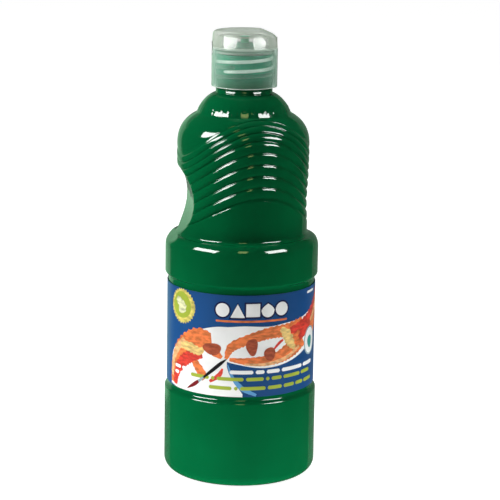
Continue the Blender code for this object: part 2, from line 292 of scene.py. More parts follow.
def scooped(radius, height, inset=0.0):
    """The radius after the two grip scoops are pressed in, with a slightly rounded rim."""
    radius = np.broadcast_to(radius, ANGLES.shape).astype(float)
    height = np.broadcast_to(height, ANGLES.shape)
    reach = SCOOP_R + inset
    rise = np.clip(np.abs(height - SCOOP_Z), 0, reach)
    floor = SCOOP_AXIS_OUT - np.sqrt(reach ** 2 - rise ** 2)
    for scoop in SCOOP_ANGLES:
        turn = (ANGLES - scoop + math.pi) % TURN - math.pi
        near = np.abs(turn) < math.radians(70)
        flat = np.where(near, floor / np.cos(np.where(near, turn, 0.0)), 1.0)
        gap = radius - flat
        blend = np.clip(0.5 + 0.5 * gap / SCOOP_EDGE, 0, 1)
        radius = radius * (1 - blend) + flat * blend - SCOOP_EDGE * blend * (1 - blend)
    return radius


def ring(radius, height, inset=0.0):
    return place(scooped(radius, height, inset), height)


def arched_ring(waist, distance, depth):
    here = distance - waist.drop(distance) * np.sin(ANGLES) ** 2
    radius, height = waist.at(here)
    return place(scooped(radius - depth, height), height)


def helix(start, start_z, turns, root_r, crest_r, steps_a_turn=96):
    """A helical thread ridge with rounded shoulders that runs out at both ends."""
    outward = 1 if crest_r > root_r else -1
    sunk = root_r - outward * 0.3 * MM
    sweep = turns * TURN
    run_out = 0.5
    steps = round(turns * steps_a_turn)
    rows = []
    for i in range(steps + 1):
        turn = sweep * i / steps
        fade = math.sin(min(1.0, turn / run_out, (sweep - turn) / run_out) * math.pi / 2)
        crest = root_r + (crest_r - root_r) * fade - outward * 0.15 * MM * (1 - fade)
        z = start_z + PITCH * turn / TURN
        x, y = math.sin(start + turn), -math.cos(start + turn)
        shoulder = crest - outward * 0.12 * MM
        section = ((sunk, -0.85), (shoulder, -0.55), (crest, -0.36),
                   (crest, 0.36), (shoulder, 0.55), (sunk, 0.85))
        rows.append([(r * x, r * y, z + dz * MM) for r, dz in section])
    return closed_skin(rows)


# Materials

def shader_material(name, colour, roughness, **values):
    mat = bpy.data.materials.new(name)
    mat.use_nodes = True
    shader = mat.node_tree.nodes["Principled BSDF"]
    shader.inputs["Base Color"].default_value = (*colour, 1.0)
    shader.inputs["Roughness"].default_value = roughness
    for key, value in values.items():
        shader.inputs[key.replace("_", " ")].default_value = value
    return mat, mat.node_tree.nodes, mat.node_tree.links, shader


def noise_node(nodes, links, scale, detail=2.0, stretch=(1, 1, 1)):
    """Noise fixed to the object; stretch multiplies its frequency along each axis."""
    coordinates = nodes.new("ShaderNodeTexCoord")
    mapping = nodes.new("ShaderNodeMapping")
    mapping.inputs["Scale"].default_value = stretch
    noise = nodes.new("ShaderNodeTexNoise")
    noise.inputs["Scale"].default_value = scale
    noise.inputs["Detail"].default_value = detail
    links.new(coordinates.outputs["Object"], mapping.inputs["Vector"])
    links.new(mapping.outputs["Vector"], noise.inputs["Vector"])
    return noise


def bump_from(nodes, links, shader, height_socket, distance, strength=1.0):
    bump = nodes.new("ShaderNodeBump")
    bump.inputs["Distance"].default_value = distance
    bump.inputs["Strength"].default_value = strength
    links.new(height_socket, bump.inputs["Height"])
    links.new(bump.outputs["Normal"], shader.inputs["Normal"])


def mottle(nodes, links, shader, noise, low, high, start=0.3, end=0.7):
    """The surface's colour drifts between two shades."""
    ramp = nodes.new("ShaderNodeValToRGB")
    ramp.color_ramp.elements[0].position = start
    ramp.color_ramp.elements[0].color = (*low, 1.0)
    ramp.color_ramp.elements[1].position = end
    ramp.color_ramp.elements[1].color = (*high, 1.0)
    links.new(noise.outputs["Fac"], ramp.inputs["Fac"])
    links.new(ramp.outputs["Color"], shader.inputs["Base Color"])


def map_range(nodes, links, value, source, target=(0.0, 1.0)):
    """A socket that maps one range of a value onto another."""
    mapped = nodes.new("ShaderNodeMapRange")
    for name, number in zip(("From Min", "From Max", "To Min", "To Max"), (*source, *target)):
        mapped.inputs[name].default_value = number
    links.new(value, mapped.inputs["Value"])
    return mapped.outputs["Result"]


def shades(colour, spread):
    """A darker and a lighter shade of one colour."""
    return [tuple(c * k for c in colour) for k in (1 - spread, 1 + spread)]


def pet_material():
    """Clear PET with green paint wetting its inside: deep colour under a hard clear gloss."""
    mat, nodes, links, shader = shader_material("paint_behind_pet", PAINT_GREEN, 0.07, IOR=1.36)
    mottle(nodes, links, shader, noise_node(nodes, links, 45.0), *shades(PAINT_GREEN, 0.07))
    bump_from(nodes, links, shader, noise_node(nodes, links, 85.0, 2.0).outputs["Fac"], 0.00014)
    return mat


def wet_paint_material():
    """The tempera itself, thick and softly glossy."""
    mat, nodes, links, shader = shader_material("green_tempera", PAINT_GREEN, 0.3)
    mottle(nodes, links, shader, noise_node(nodes, links, 120.0), *shades(PAINT_GREEN, 0.12))
    bump_from(nodes, links, shader, noise_node(nodes, links, 260.0, 3.0).outputs["Fac"], 0.0002)
    return mat


def print_material(name, colour, spread=0.08, scale=90.0):
    """Ink on a satin film, laid down a little unevenly."""
    mat, nodes, links, shader = shader_material(name, colour, 0.34, IOR=1.32)
    mottle(nodes, links, shader, noise_node(nodes, links, scale, 3.0), *shades(colour, spread))
    bump_from(nodes, links, shader, noise_node(nodes, links, 900.0, 2.0).outputs["Fac"], 0.00001, 0.5)
    return mat


def label_material():
    """The blue ground of the printed film, a little lighter where it has been rubbed."""
    return print_material("label_blue_film", (0.008, 0.075, 0.25), 0.12, 25.0)


def paint_art_material(name, colour):
    """Brushed colour: streaks of two shades along the stroke."""
    mat, nodes, links, shader = shader_material(name, colour, 0.38, IOR=1.4)
    noise = noise_node(nodes, links, 300.0, 4.0, (1.0, 1.0, 2.6))
    mottle(nodes, links, shader, noise, *shades(colour, 0.3), 0.35, 0.65)
    bump_from(nodes, links, shader, noise.outputs["Fac"], 0.00002, 0.6)
    return mat


def cap_material(name, colour, facing_alpha, edge_alpha, ior=1.49, roughness=0.16, grain=0.00004,
                 lean=0.0):
    """Natural polypropylene: milky, a little cloudy, clearer where the wall is seen square on.

    lean tips its gloss upward, as the taper of a wall's inside does.
    """
    mat, nodes, links, shader = shader_material(name, colour, roughness, IOR=ior)
    mottle(nodes, links, shader, noise_node(nodes, links, 160.0, 3.0), *shades(colour, 0.06))
    bump_from(nodes, links, shader, noise_node(nodes, links, 420.0, 2.0, (1, 1, 0.4)).outputs["Fac"], grain)
    facing = nodes.new("ShaderNodeLayerWeight")
    facing.inputs["Blend"].default_value = 0.5
    alpha = map_range(nodes, links, facing.outputs["Facing"], (0.15, 1.0), (facing_alpha, edge_alpha))
    links.new(alpha, shader.inputs["Alpha"])
    if lean:
        geometry = nodes.new("ShaderNodeNewGeometry")
        leaning = nodes.new("ShaderNodeVectorMath")
        leaning.inputs[1].default_value = (0.0, 0.0, lean)
        unit = nodes.new("ShaderNodeVectorMath")
        unit.operation = "NORMALIZE"
        links.new(geometry.outputs["Normal"], leaning.inputs[0])
        links.new(leaning.outputs["Vector"], unit.inputs[0])
        links.new(unit.outputs["Vector"], shader.inputs["Normal"].links[0].from_node.inputs["Normal"])
    return mat


def ridge_material():
    """Clear PET of the thread, which the paint doesn't reach, with a painted glow that stands in for the
    light the clear ridge catches and pipes.
    """
    mat, nodes, links, shader = shader_material("clear_thread_painted_glow", (0.86, 0.94, 0.88), 0.1, IOR=1.5)
    mottle(nodes, links, shader, noise_node(nodes, links, 200.0), *shades((0.8, 0.92, 0.84), 0.1))
    # Painted glow: this emission stands in for the light the clear thread catches; the thread is no lamp.
    shader.inputs["Emission Color"].default_value = (0.8, 0.95, 0.88, 1.0)
    shader.inputs["Emission Strength"].default_value = 0.22
    return mat


def neck_material():
    """The neck's clear PET, where the paint inside thins out upward to a smear."""
    mat, nodes, links, shader = shader_material("smeared_neck", (0.03, 0.36, 0.21), 0.09, IOR=1.4)
    noise = noise_node(nodes, links, 260.0, 3.0)
    mottle(nodes, links, shader, noise, (0.02, 0.3, 0.17), (0.045, 0.43, 0.26))
    place_in_neck = nodes.new("ShaderNodeTexCoord")
    parts = nodes.new("ShaderNodeSeparateXYZ")
    links.new(place_in_neck.outputs["Object"], parts.inputs["Vector"])
    height = map_range(nodes, links, parts.outputs["Z"], (NECK_SPLIT_Z, NECK_SPLIT_Z + SMEAR_HEIGHT))
    thinning = nodes.new("ShaderNodeMixRGB")
    thinning.inputs["Color1"].default_value = (*PAINT_GREEN, 1.0)
    links.new(height, thinning.inputs["Fac"])
    links.new(shader.inputs["Base Color"].links[0].from_socket, thinning.inputs["Color2"])
    links.new(thinning.outputs["Color"], shader.inputs["Base Color"])
    return mat


def foam_material():
    """Off-white foam with a fine grain."""
    mat, nodes, links, shader = shader_material("liner_foam", (0.8, 0.8, 0.76), 0.85)
    grain = noise_node(nodes, links, 2200.0, 2.0)
    mottle(nodes, links, shader, grain, (0.68, 0.68, 0.64), (0.85, 0.85, 0.81))
    bump_from(nodes, links, shader, grain.outputs["Fac"], 0.00012)
    return mat


# Pieces

def bottle_rows(waist):
    """Rows up the outside from the pushed-up base to the neck's split, then down the inside."""
    foot_r = BODY_R - FOOT_RADIUS
    rings = [ring(r, z) for r, z in bezier((1 * MM, PUSH_UP), (12 * MM, PUSH_UP), (20 * MM, PUSH_UP * 0.5),
                                           (foot_r - 2 * MM, 0.0), 12)]
    outline = arc(foot_r, FOOT_RADIUS, FOOT_RADIUS, FOOT_RADIUS, -90, 0, 12)
    outline += straight(BODY_R, FOOT_RADIUS, BODY_R, PANEL_FOOT_Z - STEP_HEIGHT, 8)[1:]
    outline += easing(BODY_R, PANEL_FOOT_Z - STEP_EDGE, PANEL_R, PANEL_FOOT_Z - LOWER_STEP_GAP, 14)
    outline += [(PANEL_R, PANEL_FOOT_Z)]
    outline += straight(PANEL_R, PANEL_FOOT_Z, PANEL_R, PANEL_TOP_Z, 4)[1:]
    outline += easing(PANEL_R, PANEL_TOP_Z + UPPER_STEP_GAP, BODY_R, PANEL_TOP_Z + STEP_EDGE, 14)
    outline += [(BODY_R, PANEL_TOP_Z + STEP_HEIGHT)]
    outline += straight(BODY_R, PANEL_TOP_Z + STEP_HEIGHT, BODY_R, RUB_RING_TOP_Z, 4)[1:]
    fillet = 1.5 * MM
    ring_top = WAIST_Z - fillet
    outline += arc(WAIST_R + fillet, RUB_RING_TOP_Z, BODY_R - WAIST_R - fillet,
                   ring_top - RUB_RING_TOP_Z, 0, 84, 18)[1:]
    outline += arc(WAIST_R + fillet, ring_top + fillet, fillet, fillet, 264, 186, 6)
    rings += [ring(r, z) for r, z in outline]
    rings += [arched_ring(waist, waist.foot * share, 0.0) for share in np.linspace(1.0, 0.06, 26)]
    rings += rib_rings(waist)
    room = waist.crease - waist.grooves[-1]
    rings += [arched_ring(waist, waist.grooves[-1] + room * share, 0.3 * RIB_DEPTH * (1 - share) ** 4)
              for share in np.linspace(0.1, 0.97, 16)]
    rings += [place(r + crease_ripple(z), z) for r, z in small_dome(36)[1:]]
    neck = arc(NECK_R + 0.4 * MM, NECK_Z + 0.4 * MM, 0.4 * MM, 0.4 * MM, 260, 190, 4)
    rings += [ring(r, z) for r, z in neck + [(NECK_R, NECK_SPLIT_Z), (BORE_R, NECK_SPLIT_Z)]]
    return rings + [ring(r, z, WALL) for r, z in inside_outline(WALL)[1:]]


def crease_ripple(height):
    """Fine upright ripples that the mould left on the small dome, strongest just above the crease."""
    strength = max(0.0, 1 - abs(height - CREASE_Z - 2.6 * MM) / (2.8 * MM)) ** 0.7
    waves = np.sin(47 * ANGLES + 1.3 * np.sin(5 * ANGLES))
    waves = waves + 0.8 * np.sin(71 * ANGLES + 2.0) + 0.6 * np.sin(29 * ANGLES)
    return 0.055 * MM * strength * waves * (1 + 0.5 * np.sin(height / MM * 3.1 + 3 * ANGLES))


def rib_rings(waist):
    """Rows over each rib: a smooth mound between two sharp grooves, shallower up the dome."""
    rings = []
    steps = 14
    ends = waist.grooves[1:] + [waist.grooves[-1] + NARROW_PITCH]
    for k, (low, high) in enumerate(zip(waist.grooves[:-1], ends)):
        depth_low = rib_depth(k)
        depth_high = rib_depth(k + 1)
        for i in range(steps):
            t = i / steps
            depth = depth_low + (depth_high - depth_low) * t
            rings.append(arched_ring(waist, low + t * (high - low), depth * abs(2 * t - 1) ** 3.0))
    rings.append(arched_ring(waist, waist.grooves[-1], rib_depth(len(waist.grooves) - 1)))
    return rings


def rib_depth(groove):
    """How deep a groove is, counted from the lowest."""
    return RIB_DEPTH * (1.0 if groove <= WIDE_RIBS else 0.62)


def inside_outline(inset):
    """Down the bore and the inside of the wall, clear of the grooves, to the pushed-up base."""
    clear = inset + RIB_DEPTH
    foot_r = BODY_R - FOOT_RADIUS
    bore = BORE_R - (inset - WALL)
    outline = [(bore, NECK_SPLIT_Z), (bore, NECK_Z)]
    outline += [(r - clear, z - clear * 0.6) for r, z in reversed(small_dome(6)[:-1])]
    outline += [(r - clear, z - clear) for r, z in reversed(big_dome(10))]
    outline += straight(WAIST_R - clear, DOME_Z - 3 * MM, WAIST_R - clear, WAIST_Z, 12)
    body, panel = BODY_R - inset, PANEL_R - inset
    outline += [(body - 1 * MM, RUB_RING_TOP_Z + 1 * MM), (body, RUB_RING_TOP_Z - 1 * MM)]
    outline += [(body, PANEL_TOP_Z + STEP_HEIGHT), (panel, PANEL_TOP_Z)]
    outline += [(panel, PANEL_FOOT_Z), (body, PANEL_FOOT_Z - STEP_HEIGHT)]
    outline += arc(foot_r, FOOT_RADIUS, FOOT_RADIUS - inset, FOOT_RADIUS - inset, 0, -90, 6)
    outline += [(24 * MM, inset + 1.2 * MM), (14 * MM, PUSH_UP + inset - 0.6 * MM), (1 * MM, PUSH_UP + inset)]
    return outline


def build_bottle():
    """The shell from the base to the foot of the closure."""
    rows = bottle_rows(Waist())
    shell = closed_skin(rows, first=(0, 0, PUSH_UP), last=(0, 0, PUSH_UP + WALL))
    bottle = piece("bottle_shell", *shell, pet_material(), "bottle")
    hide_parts("bottle")


def build_neck():
    """The mouth and thread, joined to the shell just inside the closure's foot."""
    outline = [(BORE_R, NECK_SPLIT_Z), (NECK_R, NECK_SPLIT_Z)]
    outline += arc(NECK_R - 0.4 * MM, MOUTH_Z - 0.4 * MM, 0.4 * MM, 0.4 * MM, 0, 90, 5)
    outline += arc(BORE_R + 0.4 * MM, MOUTH_Z - 0.4 * MM, 0.4 * MM, 0.4 * MM, 90, 180, 5)
    tube = looped_skin([place(r, z) for r, z in outline])
    thread = helix(THREAD_START, THREAD_START_Z, THREAD_TURNS, NECK_R, THREAD_CREST_R)
    neck = piece("bottle_neck", *merged(tube, thread), neck_material(), "bottle")
    neck.data.set_sharp_from_angle(angle=math.radians(50))
    neck.data.materials.append(ridge_material())
    neck.data.polygons.foreach_set("material_index", [0] * len(tube[1]) + [1] * len(thread[1]))


# How far the paint's surface lies inside the bore and below its wet rim
MENISCUS = ((2.5, 0.6), (1.2, 0.45), (0.4, 0.2), (0.0, 0.0))
PAINT_DIP = 0.7 * MM


def build_paint():
    """The paint inside, filled to the foot of the neck, with a raised wet rim against the bore."""
    gap = 0.3 * MM
    radius = BORE_R - gap
    outline = [(1 * MM, PAINT_Z - PAINT_DIP)]
    outline += [(radius - inward * MM, PAINT_Z - down * MM) for inward, down in MENISCUS]
    outline += inside_outline(WALL + gap)[1:]
    rows = [ring(r, z, WALL + gap) for r, z in outline]
    points, faces = closed_skin(rows, first=(0, 0, PAINT_Z - PAINT_DIP), last=(0, 0, PUSH_UP + WALL + gap))
    paint = piece("paint_mass", points, faces, wet_paint_material(), "bottle")
    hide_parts("paint_fill")


# The label, and the print on it

LABEL_R = PANEL_R + 0.45 * MM
LABEL_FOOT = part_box("label")[0][2] / MM
LABEL_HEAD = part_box("label")[1][2] / MM
FILM = 0.2 * MM
LAP_RISE = 0.33 * MM
INK = 0.012 * MM
INK_ROOT = -0.05 * MM


def build_label():
    """The printed strip, wound once round the panel and lapped at the back."""
    steps = 320
    lap = 14
    ramp = 12
    rows = []
    for i in range(steps + lap + 1):
        angle = math.pi + TURN * i / steps
        outer = LABEL_R + LAP_RISE * min(1.0, max(0.0, i - steps + ramp) / ramp)
        inner = outer - FILM
        x, y = math.sin(angle), -math.cos(angle)
        low, high = LABEL_FOOT * MM, LABEL_HEAD * MM
        section = ((inner, low), (outer, low), (outer, high), (inner, high))
        rows.append([(r * x, r * y, z) for r, z in section])
    points, faces = closed_skin(rows)
    label = piece("label_strip", points, faces, label_material(), "bottle", smooth=False)
    label.data.set_sharp_from_angle(angle=math.radians(30))
    label.data.polygons.foreach_set("use_smooth", [True] * len(label.data.polygons))
    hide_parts("label")


def smooth_line(points, step=0.8):
    """Points a step apart along a smooth line through a few given ones (Catmull-Rom)."""
    knots = np.array(points, float)
    padded = np.vstack([2 * knots[0] - knots[1], knots, 2 * knots[-1] - knots[-2]])
    line = []
    for k in range(len(knots) - 1):
        p0, p1, p2, p3 = padded[k:k + 4]
        count = max(2, int(np.hypot(*(p2 - p1)[:2]) / step))
        for t in np.arange(count) / count:
            line.append(0.5 * (2 * p1 + (p2 - p0) * t + (2 * p0 - 5 * p1 + 4 * p2 - p3) * t * t
                               + (3 * p1 - p0 - 3 * p2 + p3) * t ** 3))
    return np.array(line + [knots[-1]])


def film(pairs, layer):
    """A closed film of ink between pairs of places on the label; a higher layer lies over a lower one."""
    across = 1 + math.ceil(max(abs(a[0] - b[0]) for a, b in pairs) / 0.7)
    shares = np.linspace(0.0, 1.0, across + 1)
    rows = []
    for a, b in pairs:
        places = [(a[0] + (b[0] - a[0]) * t, a[1] + (b[1] - a[1]) * t) for t in shares]
        row = []
        for depth, side in ((INK_ROOT, places), (layer * INK, reversed(places))):
            for u, v in side:
                radius = LABEL_R + depth
                angle = u * MM / LABEL_R
                height = min(max(v, LABEL_FOOT), LABEL_HEAD) * MM
                row.append((radius * math.sin(angle), -radius * math.cos(angle), height))
        rows.append(row)
    return closed_skin(rows)


def stroke(points, layer, ragged=0.0):
    """A brush stroke along (round, up, width) points; its edges wander by a share of its width."""
    line = smooth_line(points)
    tangent = np.gradient(line[:, :2], axis=0)
    tangent /= np.linalg.norm(tangent, axis=1)[:, None]
    side = np.stack([-tangent[:, 1], tangent[:, 0]], axis=1)
    along = np.arange(len(line))
    half = line[:, 2:3] / 2
    wander = ragged * half * np.stack([np.sin(along * 1.9 + layer), np.sin(along * 2.7 + 2 * layer)], axis=1)
    left = line[:, :2] + side * (half + wander[:, :1])
    right = line[:, :2] - side * (half + wander[:, 1:])
    return film(list(zip(left, right)), layer)


def field(low_points, high_points, layer):
    """The area between a lower and an upper smooth line that start and end at the same places round."""
    low, high = smooth_line(low_points, 0.4), smooth_line(high_points, 0.4)
    places = np.arange(low[0, 0], low[-1, 0] + 0.01, 0.7)
    lows = np.interp(places, low[:, 0], low[:, 1])
    highs = np.interp(places, high[:, 0], high[:, 1])
    return film([((u, a), (u, b)) for u, a, b in zip(places, lows, highs)], layer)


def blob(u, v, half_width, half_height, layer, teeth=0, tooth=0.0, waver=0.0):
    """A round patch whose edge may be toothed or may waver; its two ends stop short of a point."""
    count = 24 + 8 * teeth
    pairs = []
    for i in range(count // 2 + 1):
        pair = []
        sweep = math.pi * (0.004 + 0.992 * 2 * i / count)
        for turn in (-sweep, sweep):
            reach = 1 + tooth * math.cos(teeth * turn) + waver * math.sin(3 * turn + layer)
            pair.append((u - half_width * reach * math.cos(turn), v + half_height * reach * math.sin(turn)))
        pairs.append(pair)
    return film(pairs, layer)


def bar(u, v, width, height, layer):
    """A rounded bar that stands for one printed word."""
    cut = height * 0.32
    ends = [(0.0, height - 2 * cut), (cut, height), (width - cut, height), (width, height - 2 * cut)]
    between = [(x, height) for x in np.arange(cut + 0.8, width - cut - 0.2, 0.8)]
    steps = ends[:2] + between + ends[2:]
    return film([((u + x, v - h / 2), (u + x, v + h / 2)) for x, h in steps], layer)


def words(u, v, widths, height, layer, space=1.1):
    """A line of bars with spaces between them."""
    bars = []
    for width in widths:
        bars.append(bar(u, v, width, height, layer))
        u += width + space
    return bars


# The white arch's edges, and the widths of the bars in the two columns at the back
ARCH_TOP = [(-48.6, 45), (-48.3, 52), (-47, 58.5), (-41.2, 63.9), (-36.2, 67.3), (-28.7, 71.6), (-21.3, 73.7),
            (-7.9, 74.6), (3.4, 74.1), (11, 74.8), (19, 75.4), (26.3, 77.1), (34.1, 80), (41, 84), (47, 88.5)]
ARCH_FOOT = [(-16.2, 58.4), (-12.1, 57.4), (0, 55.4), (11.5, 56.4), (23.4, 60.2), (30, 65), (36, 71),
             (42, 78.5), (47, 88)]
BACK_COLUMNS = {58: ((9, 6, 11), (5, 12, 8, 6), (13, 7, 9)), -96: ((7, 10, 5, 8), (12, 6, 9), (6, 8, 13))}


def shape_row(grow, layer):
    """Plain shapes in a row across the front: disc, triangle, square, drop and disc, each grown a little."""
    row = []
    for k, u in enumerate((-18, -11.2, -4.4, 2.4, 9.2)):
        v, reach = 81.7 - 0.2 * (k % 2), 3.1 + grow
        if k in (0, 4):
            row.append(blob(u, v, reach, reach, layer))
            continue
        pairs = []
        for x in np.linspace(-reach, reach, 13):
            side = 1 - abs(x) / reach
            low, high = {1: (-reach, -reach + 0.3 + 1.9 * reach * side),
                         2: (-reach * 0.95, reach * 0.95),
                         3: (-reach * math.sqrt(side * (2 - side)), reach * side ** 0.6)}[k]
            pairs.append(((u + x, v + low), (u + x, v + high + 0.02)))
        row.append(film(pairs, layer))
    return row


def white_print():
    """The arch, the row of shapes, the badge and every white bar."""
    left_foot = [(-48.6, 43), (-40, 42), (-28, 42), (-15.5, 42)]
    left_top = [p for p in ARCH_TOP if p[0] < -16] + [(-15.5, 74.1)]
    right_top = [(-16.2, 74.0)] + [p for p in ARCH_TOP if p[0] > -16]
    parts = [field(left_foot, left_top, 1), field(ARCH_FOOT, right_top, 1)]
    parts.append(field([(-16.3, 42), (-12, 42), (-8.6, 42)],
                       [(-16.3, 58.2), (-14.2, 51.9), (-8.6, 43.6)], 1.3))
    parts += shape_row(0.0, 3)
    parts += words(-14.4, 53.6, (10.5, 4, 6.4, 12.5, 8.5), 1.7, 4)
    parts.append(bar(26, 86.3, 7, 1.1, 2))
    parts += words(-44.6, 52.4, (4.4, 2.6), 1.5, 9)
    parts += words(-44.6, 49.6, (3.0, 4.6), 1.5, 9)
    parts.append(blob(29.3, 63.6, 4.6, 5.9, 6))
    for k in range(9):
        for u, lines in BACK_COLUMNS.items():
            parts += words(u, 83 - 3.4 * k, lines[k % 3], 1.3, 1, 1.4)
    return parts


def navy_print():
    """The dark edge round the row of shapes."""
    return shape_row(0.75, 2)


def orange_print():
    return [stroke([(-46.6, 44, 4), (-46, 52, 5), (-42, 59.5, 7), (-36, 64.3, 9), (-29, 67.6, 9.4),
                    (-23, 68.4, 5)], 2, 0.1),
            stroke([(-27, 66, 3), (-22, 62.5, 4), (-18, 60, 1.6)], 2, 0.1),
            stroke([(24, 62, 3), (29, 66, 7), (33, 72, 9), (38, 79, 7)], 2, 0.1),
            stroke([(-32.4, 57.6, 3.2), (-28.6, 53, 4.2), (-25.8, 49.5, 3.6)], 3, 0.1),
            stroke([(-16.2, 59.6, 1.5), (-13.6, 65, 4), (-6, 68.6, 4.6), (3, 71, 5.2), (12, 71.5, 6),
                    (22, 72, 8)], 2, 0.1),
            stroke([(-14.6, 59.4, 1.5), (-6, 58.6, 3.4), (6, 59.2, 5.2), (15, 62.6, 8),
                    (22, 66.8, 9)], 3, 0.08),
            bar(-21, 76.7, 33, 0.9, 1.5)]


def pale_orange_print():
    return [stroke([(-47.4, 47, 2), (-46.2, 55, 2.6), (-42.4, 61.2, 3.4), (-37.5, 65.4, 3)], 4, 0.1),
            stroke([(-8, 57.3, 0.8), (2, 57, 1.5), (12, 59, 1.6), (20, 63, 1.3)], 5, 0.1),
            stroke([(30, 72.5, 2), (36, 77, 3.2), (42, 83.5, 3.6), (45, 87.5, 3)], 4, 0.1)]


def red_print():
    return [stroke([(-44.6, 43.5, 3), (-43.8, 48, 4), (-40, 54, 5.5), (-34, 58.5, 5.4),
                    (-27.5, 60.3, 3.2)], 5, 0.1),
            stroke([(-17.6, 55, 0.8), (-19.4, 51.6, 2.2), (-23.6, 48.6, 1.2)], 4, 0.1),
            stroke([(14, 71, 3), (20, 71.6, 5), (28, 74, 6.4), (35, 79, 6), (41, 85.5, 4)], 3, 0.12),
            stroke([(20, 66.5, 3), (25, 69.6, 4.4), (29.5, 73, 3)], 4, 0.12),
            stroke([(5.4, 63.4, 0.8), (8, 66, 1.3), (10.2, 67.4, 1.0)], 5)]


def dab_print():
    """Three plain dabs of mixed paint."""
    return [blob(-22.6, 63.6, 4.4, 2.7, 7, waver=0.08), blob(-4.6, 65.2, 2.6, 3.9, 7, waver=0.1),
            blob(3.6, 61.6, 2.7, 3.1, 7, waver=0.06)]


def yellow_print():
    return [stroke([(-40, 62.6, 2.6), (-35, 62.8, 4.4), (-29, 61.6, 3.6), (-27, 63.4, 1.6)], 6, 0.14),
            stroke([(9, 72.6, 1.8), (11.8, 70, 4.6), (14.4, 65.6, 4.4), (17, 62.4, 1.6)], 6, 0.18)]


def gold_print():
    return [blob(-39.6, 80.5, 7.9, 7.7, 2, teeth=30, tooth=0.045)]


def lime_print():
    upper_line = words(-33.5, 50.4, (9.5, 1.6, 12, 8.0, 1.6, 5, 10, 7), 1.6, 8)
    lower_line = words(-23.9, 46.2, (10.4, 1.6, 11.5, 7.0, 6.0, 5, 7), 1.6, 8)
    seal = [blob(-40.0, 80.9, 6.1, 6.0, 3, waver=0.03)]
    return upper_line + lower_line + seal


def pale_gold_print():
    return [stroke([(-43.6, 83.6, 2.4), (-40.5, 81.6, 4.2), (-37, 80, 2.2)], 4, 0.15),
            blob(-39.8, 78.8, 2.6, 1.6, 5, waver=0.1)]


def teal_print():
    return [blob(29.3, 63.2, 2.1, 2.9, 7, waver=0.08)]


def black_print():
    return [stroke([(-15.9, 59.4, 0.4), (-18.6, 57.2, 1.5), (-22.6, 53.6, 1.5), (-26.8, 49.9, 0.9)], 10)]


def silver_print():
    return [stroke([(-26.6, 50.1, 0.9), (-29.4, 47.8, 1.2)], 10), blob(29.3, 63.6, 5.3, 6.6, 5)]


def dark_red_print():
    return [stroke([(-29.3, 47.9, 1.3), (-31.6, 46.1, 1.7), (-35.6, 43.6, 0.4)], 11)]


def sky_print():
    """The lighter glow along the edge of the blue."""
    return [stroke([(-15.4, 57, 0.4), (-13.2, 51.4, 1.4), (-9, 46.4, 2.2), (-2.5, 43, 1.2)], 2, 0.06)]


# Each ink's shapes, its colour, and whether it is brushed on
PRINTS = {
    "print_white": (white_print, (0.97, 0.98, 0.96), False),
    "print_navy": (navy_print, (0.008, 0.012, 0.07), False),
    "print_orange": (orange_print, (0.82, 0.2, 0.05), True),
    "print_pale_orange": (pale_orange_print, (0.86, 0.46, 0.2), True),
    "print_red": (red_print, (0.7, 0.05, 0.03), True),
    "print_dabs": (dab_print, (0.42, 0.08, 0.03), True),
    "print_yellow": (yellow_print, (0.82, 0.58, 0.2), True),
    "print_gold": (gold_print, (0.72, 0.62, 0.14), True),
    "print_pale_gold": (pale_gold_print, (0.72, 0.74, 0.44), True),
    "print_lime": (lime_print, (0.4, 0.5, 0.05), False),
    "print_teal": (teal_print, (0.02, 0.34, 0.3), False),
    "print_black": (black_print, (0.012, 0.012, 0.014), False),
    "print_silver": (silver_print, (0.34, 0.48, 0.52), False),
    "print_dark_red": (dark_red_print, (0.22, 0.01, 0.015), False),
    "print_sky": (sky_print, (0.12, 0.36, 0.66), False),
}


def build_print():
    """Every ink of the label as a piece of its own."""
    for name, (shapes, colour, brushed) in PRINTS.items():
        points, faces = merged(*shapes())
        made = paint_art_material(name, colour) if brushed else print_material(name, colour)
        ink = piece("label_" + name, points, faces, made, "bottle", smooth=False)


# The closure, in its own frame: hinge at -X, thumb facet at +X

def circle_row(radius, height, segments=160):
    """A row of points round the closure, counted from +X."""
    angles = np.arange(segments) * TURN / segments
    return np.stack([radius * np.cos(angles), radius * np.sin(angles), np.full(segments, height)], axis=1)


def rounded(corners, radius, closed=True):
    """An outline of (radius, height) whose corners are cut by small arcs."""
    made = []
    count = len(corners)
    for k, corner in enumerate(corners):
        if not closed and k in (0, count - 1):
            made.append(corner)
            continue
        here = Vector(corner)
        before, after = Vector(corners[k - 1]) - here, Vector(corners[(k + 1) % count]) - here
        cut = min(radius, 0.45 * before.length, 0.45 * after.length)
        start, end = here + before.normalized() * cut, here + after.normalized() * cut
        for t in (0.0, 0.33, 0.67, 1.0):
            made.append(tuple((1 - t) ** 2 * start + 2 * t * (1 - t) * here + t * t * end))
    return made


def pocket_cutter():
    """The box that cuts a flat pocket for the straps into the closure's hinge side."""
    low = Vector((-CAP_R * 1.2, -POCKET_HALF_WIDTH, POCKET_FOOT_Z))
    high = Vector((-HINGE_FLAT, POCKET_HALF_WIDTH, POCKET_TOP_Z))
    mesh = bpy.data.meshes.new("cutter")
    bm = bmesh.new()
    bmesh.ops.create_cube(bm, size=1.0)
    place_box = Matrix.Translation((high + low) / 2) @ Matrix.Diagonal((*(high - low), 1.0))
    bmesh.ops.transform(bm, matrix=place_box, verts=bm.verts)
    bm.to_mesh(mesh)
    bm.free()
    cutter = bpy.data.objects.new("cutter", mesh)
    bpy.context.scene.collection.objects.link(cutter)
    return cutter


